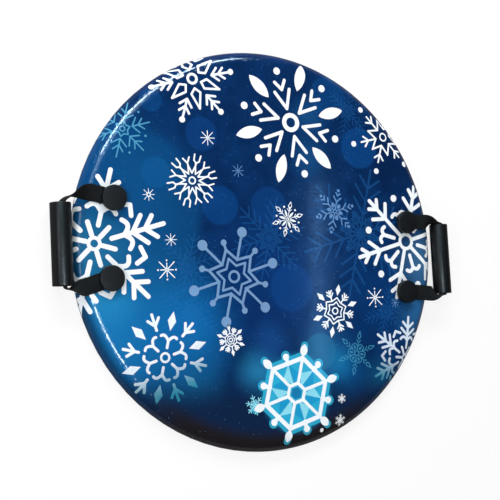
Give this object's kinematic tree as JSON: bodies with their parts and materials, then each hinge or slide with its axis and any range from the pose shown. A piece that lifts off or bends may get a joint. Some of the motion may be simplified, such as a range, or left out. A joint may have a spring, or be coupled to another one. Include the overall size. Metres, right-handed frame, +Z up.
{
  "type": "round foam snow sled",
  "caption": "Round foam snow sled: foam disc with a slick base, a printed gloss film rolled over the rim and folding webbing handles with tube grips.",
  "frame": {"origin": "on the ground under the middle of the disc, with the sled lying flat and its printed side up", "axes": "+Z up through the printed film, +X to the right handle and +Y to the front of the sled"},
  "size_m": [0.6664, 0.6, 0.04],
  "materials": {
    "film": "glossy printed film, blue with white snowflakes",
    "foam": "matt closed-cell foam",
    "base_sheet": "smooth, slightly glossy sheet",
    "webbing": "woven flat webbing",
    "grip": "satin moulded plastic",
    "cap": "satin moulded plastic",
    "washer": "matt moulded plastic",
    "bolt": "zinc-plated steel",
    "nut": "zinc-plated steel"
  },
  "bodies": {
    "deck": {"slick_base": "base_sheet", "foam_core": "foam", "printed_film": "film", "left_front_cap": "cap", "left_front_washer": "washer", "left_front_bolt": "bolt", "left_front_nut": "nut", "left_front_strap_tab": "webbing", "left_rear_cap": "cap", "left_rear_washer": "washer", "left_rear_bolt": "bolt", "left_rear_nut": "nut", "left_rear_strap_tab": "webbing", "right_front_cap": "cap", "right_front_washer": "washer", "right_front_bolt": "bolt", "right_front_nut": "nut", "right_front_strap_tab": "webbing", "right_rear_cap": "cap", "right_rear_washer": "washer", "right_rear_bolt": "bolt", "right_rear_nut": "nut", "right_rear_strap_tab": "webbing"},
    "left_handle": {"left_strap_loop": "webbing"},
    "left_tube": {"left_grip": "grip"},
    "right_handle": {"right_strap_loop": "webbing"},
    "right_tube": {"right_grip": "grip"}
  },
  "joints": [
    {"name": "left_handle_swing", "type": "hinge", "parent": "deck", "child": "left_handle", "pos_m": [-0.2665, 0, 0.0199], "axis": [0, 1, 0], "range_deg": [0, 100]},
    {"name": "right_handle_swing", "type": "hinge", "parent": "deck", "child": "right_handle", "pos_m": [0.2665, 0, 0.0199], "axis": [0, -1, 0], "range_deg": [0, 100]},
    {"name": "left_grip_spin", "type": "hinge", "parent": "left_handle", "child": "left_tube", "pos_m": [-0.31483, -0.0125, 0.01753], "axis": [-0.0698, 0.9976, 0], "continuous": true},
    {"name": "right_grip_spin", "type": "hinge", "parent": "right_handle", "child": "right_tube", "pos_m": [0.31483, 0.0006, 0.01753], "axis": [-0.0698, 0.9976, 0], "continuous": true}
  ]
}
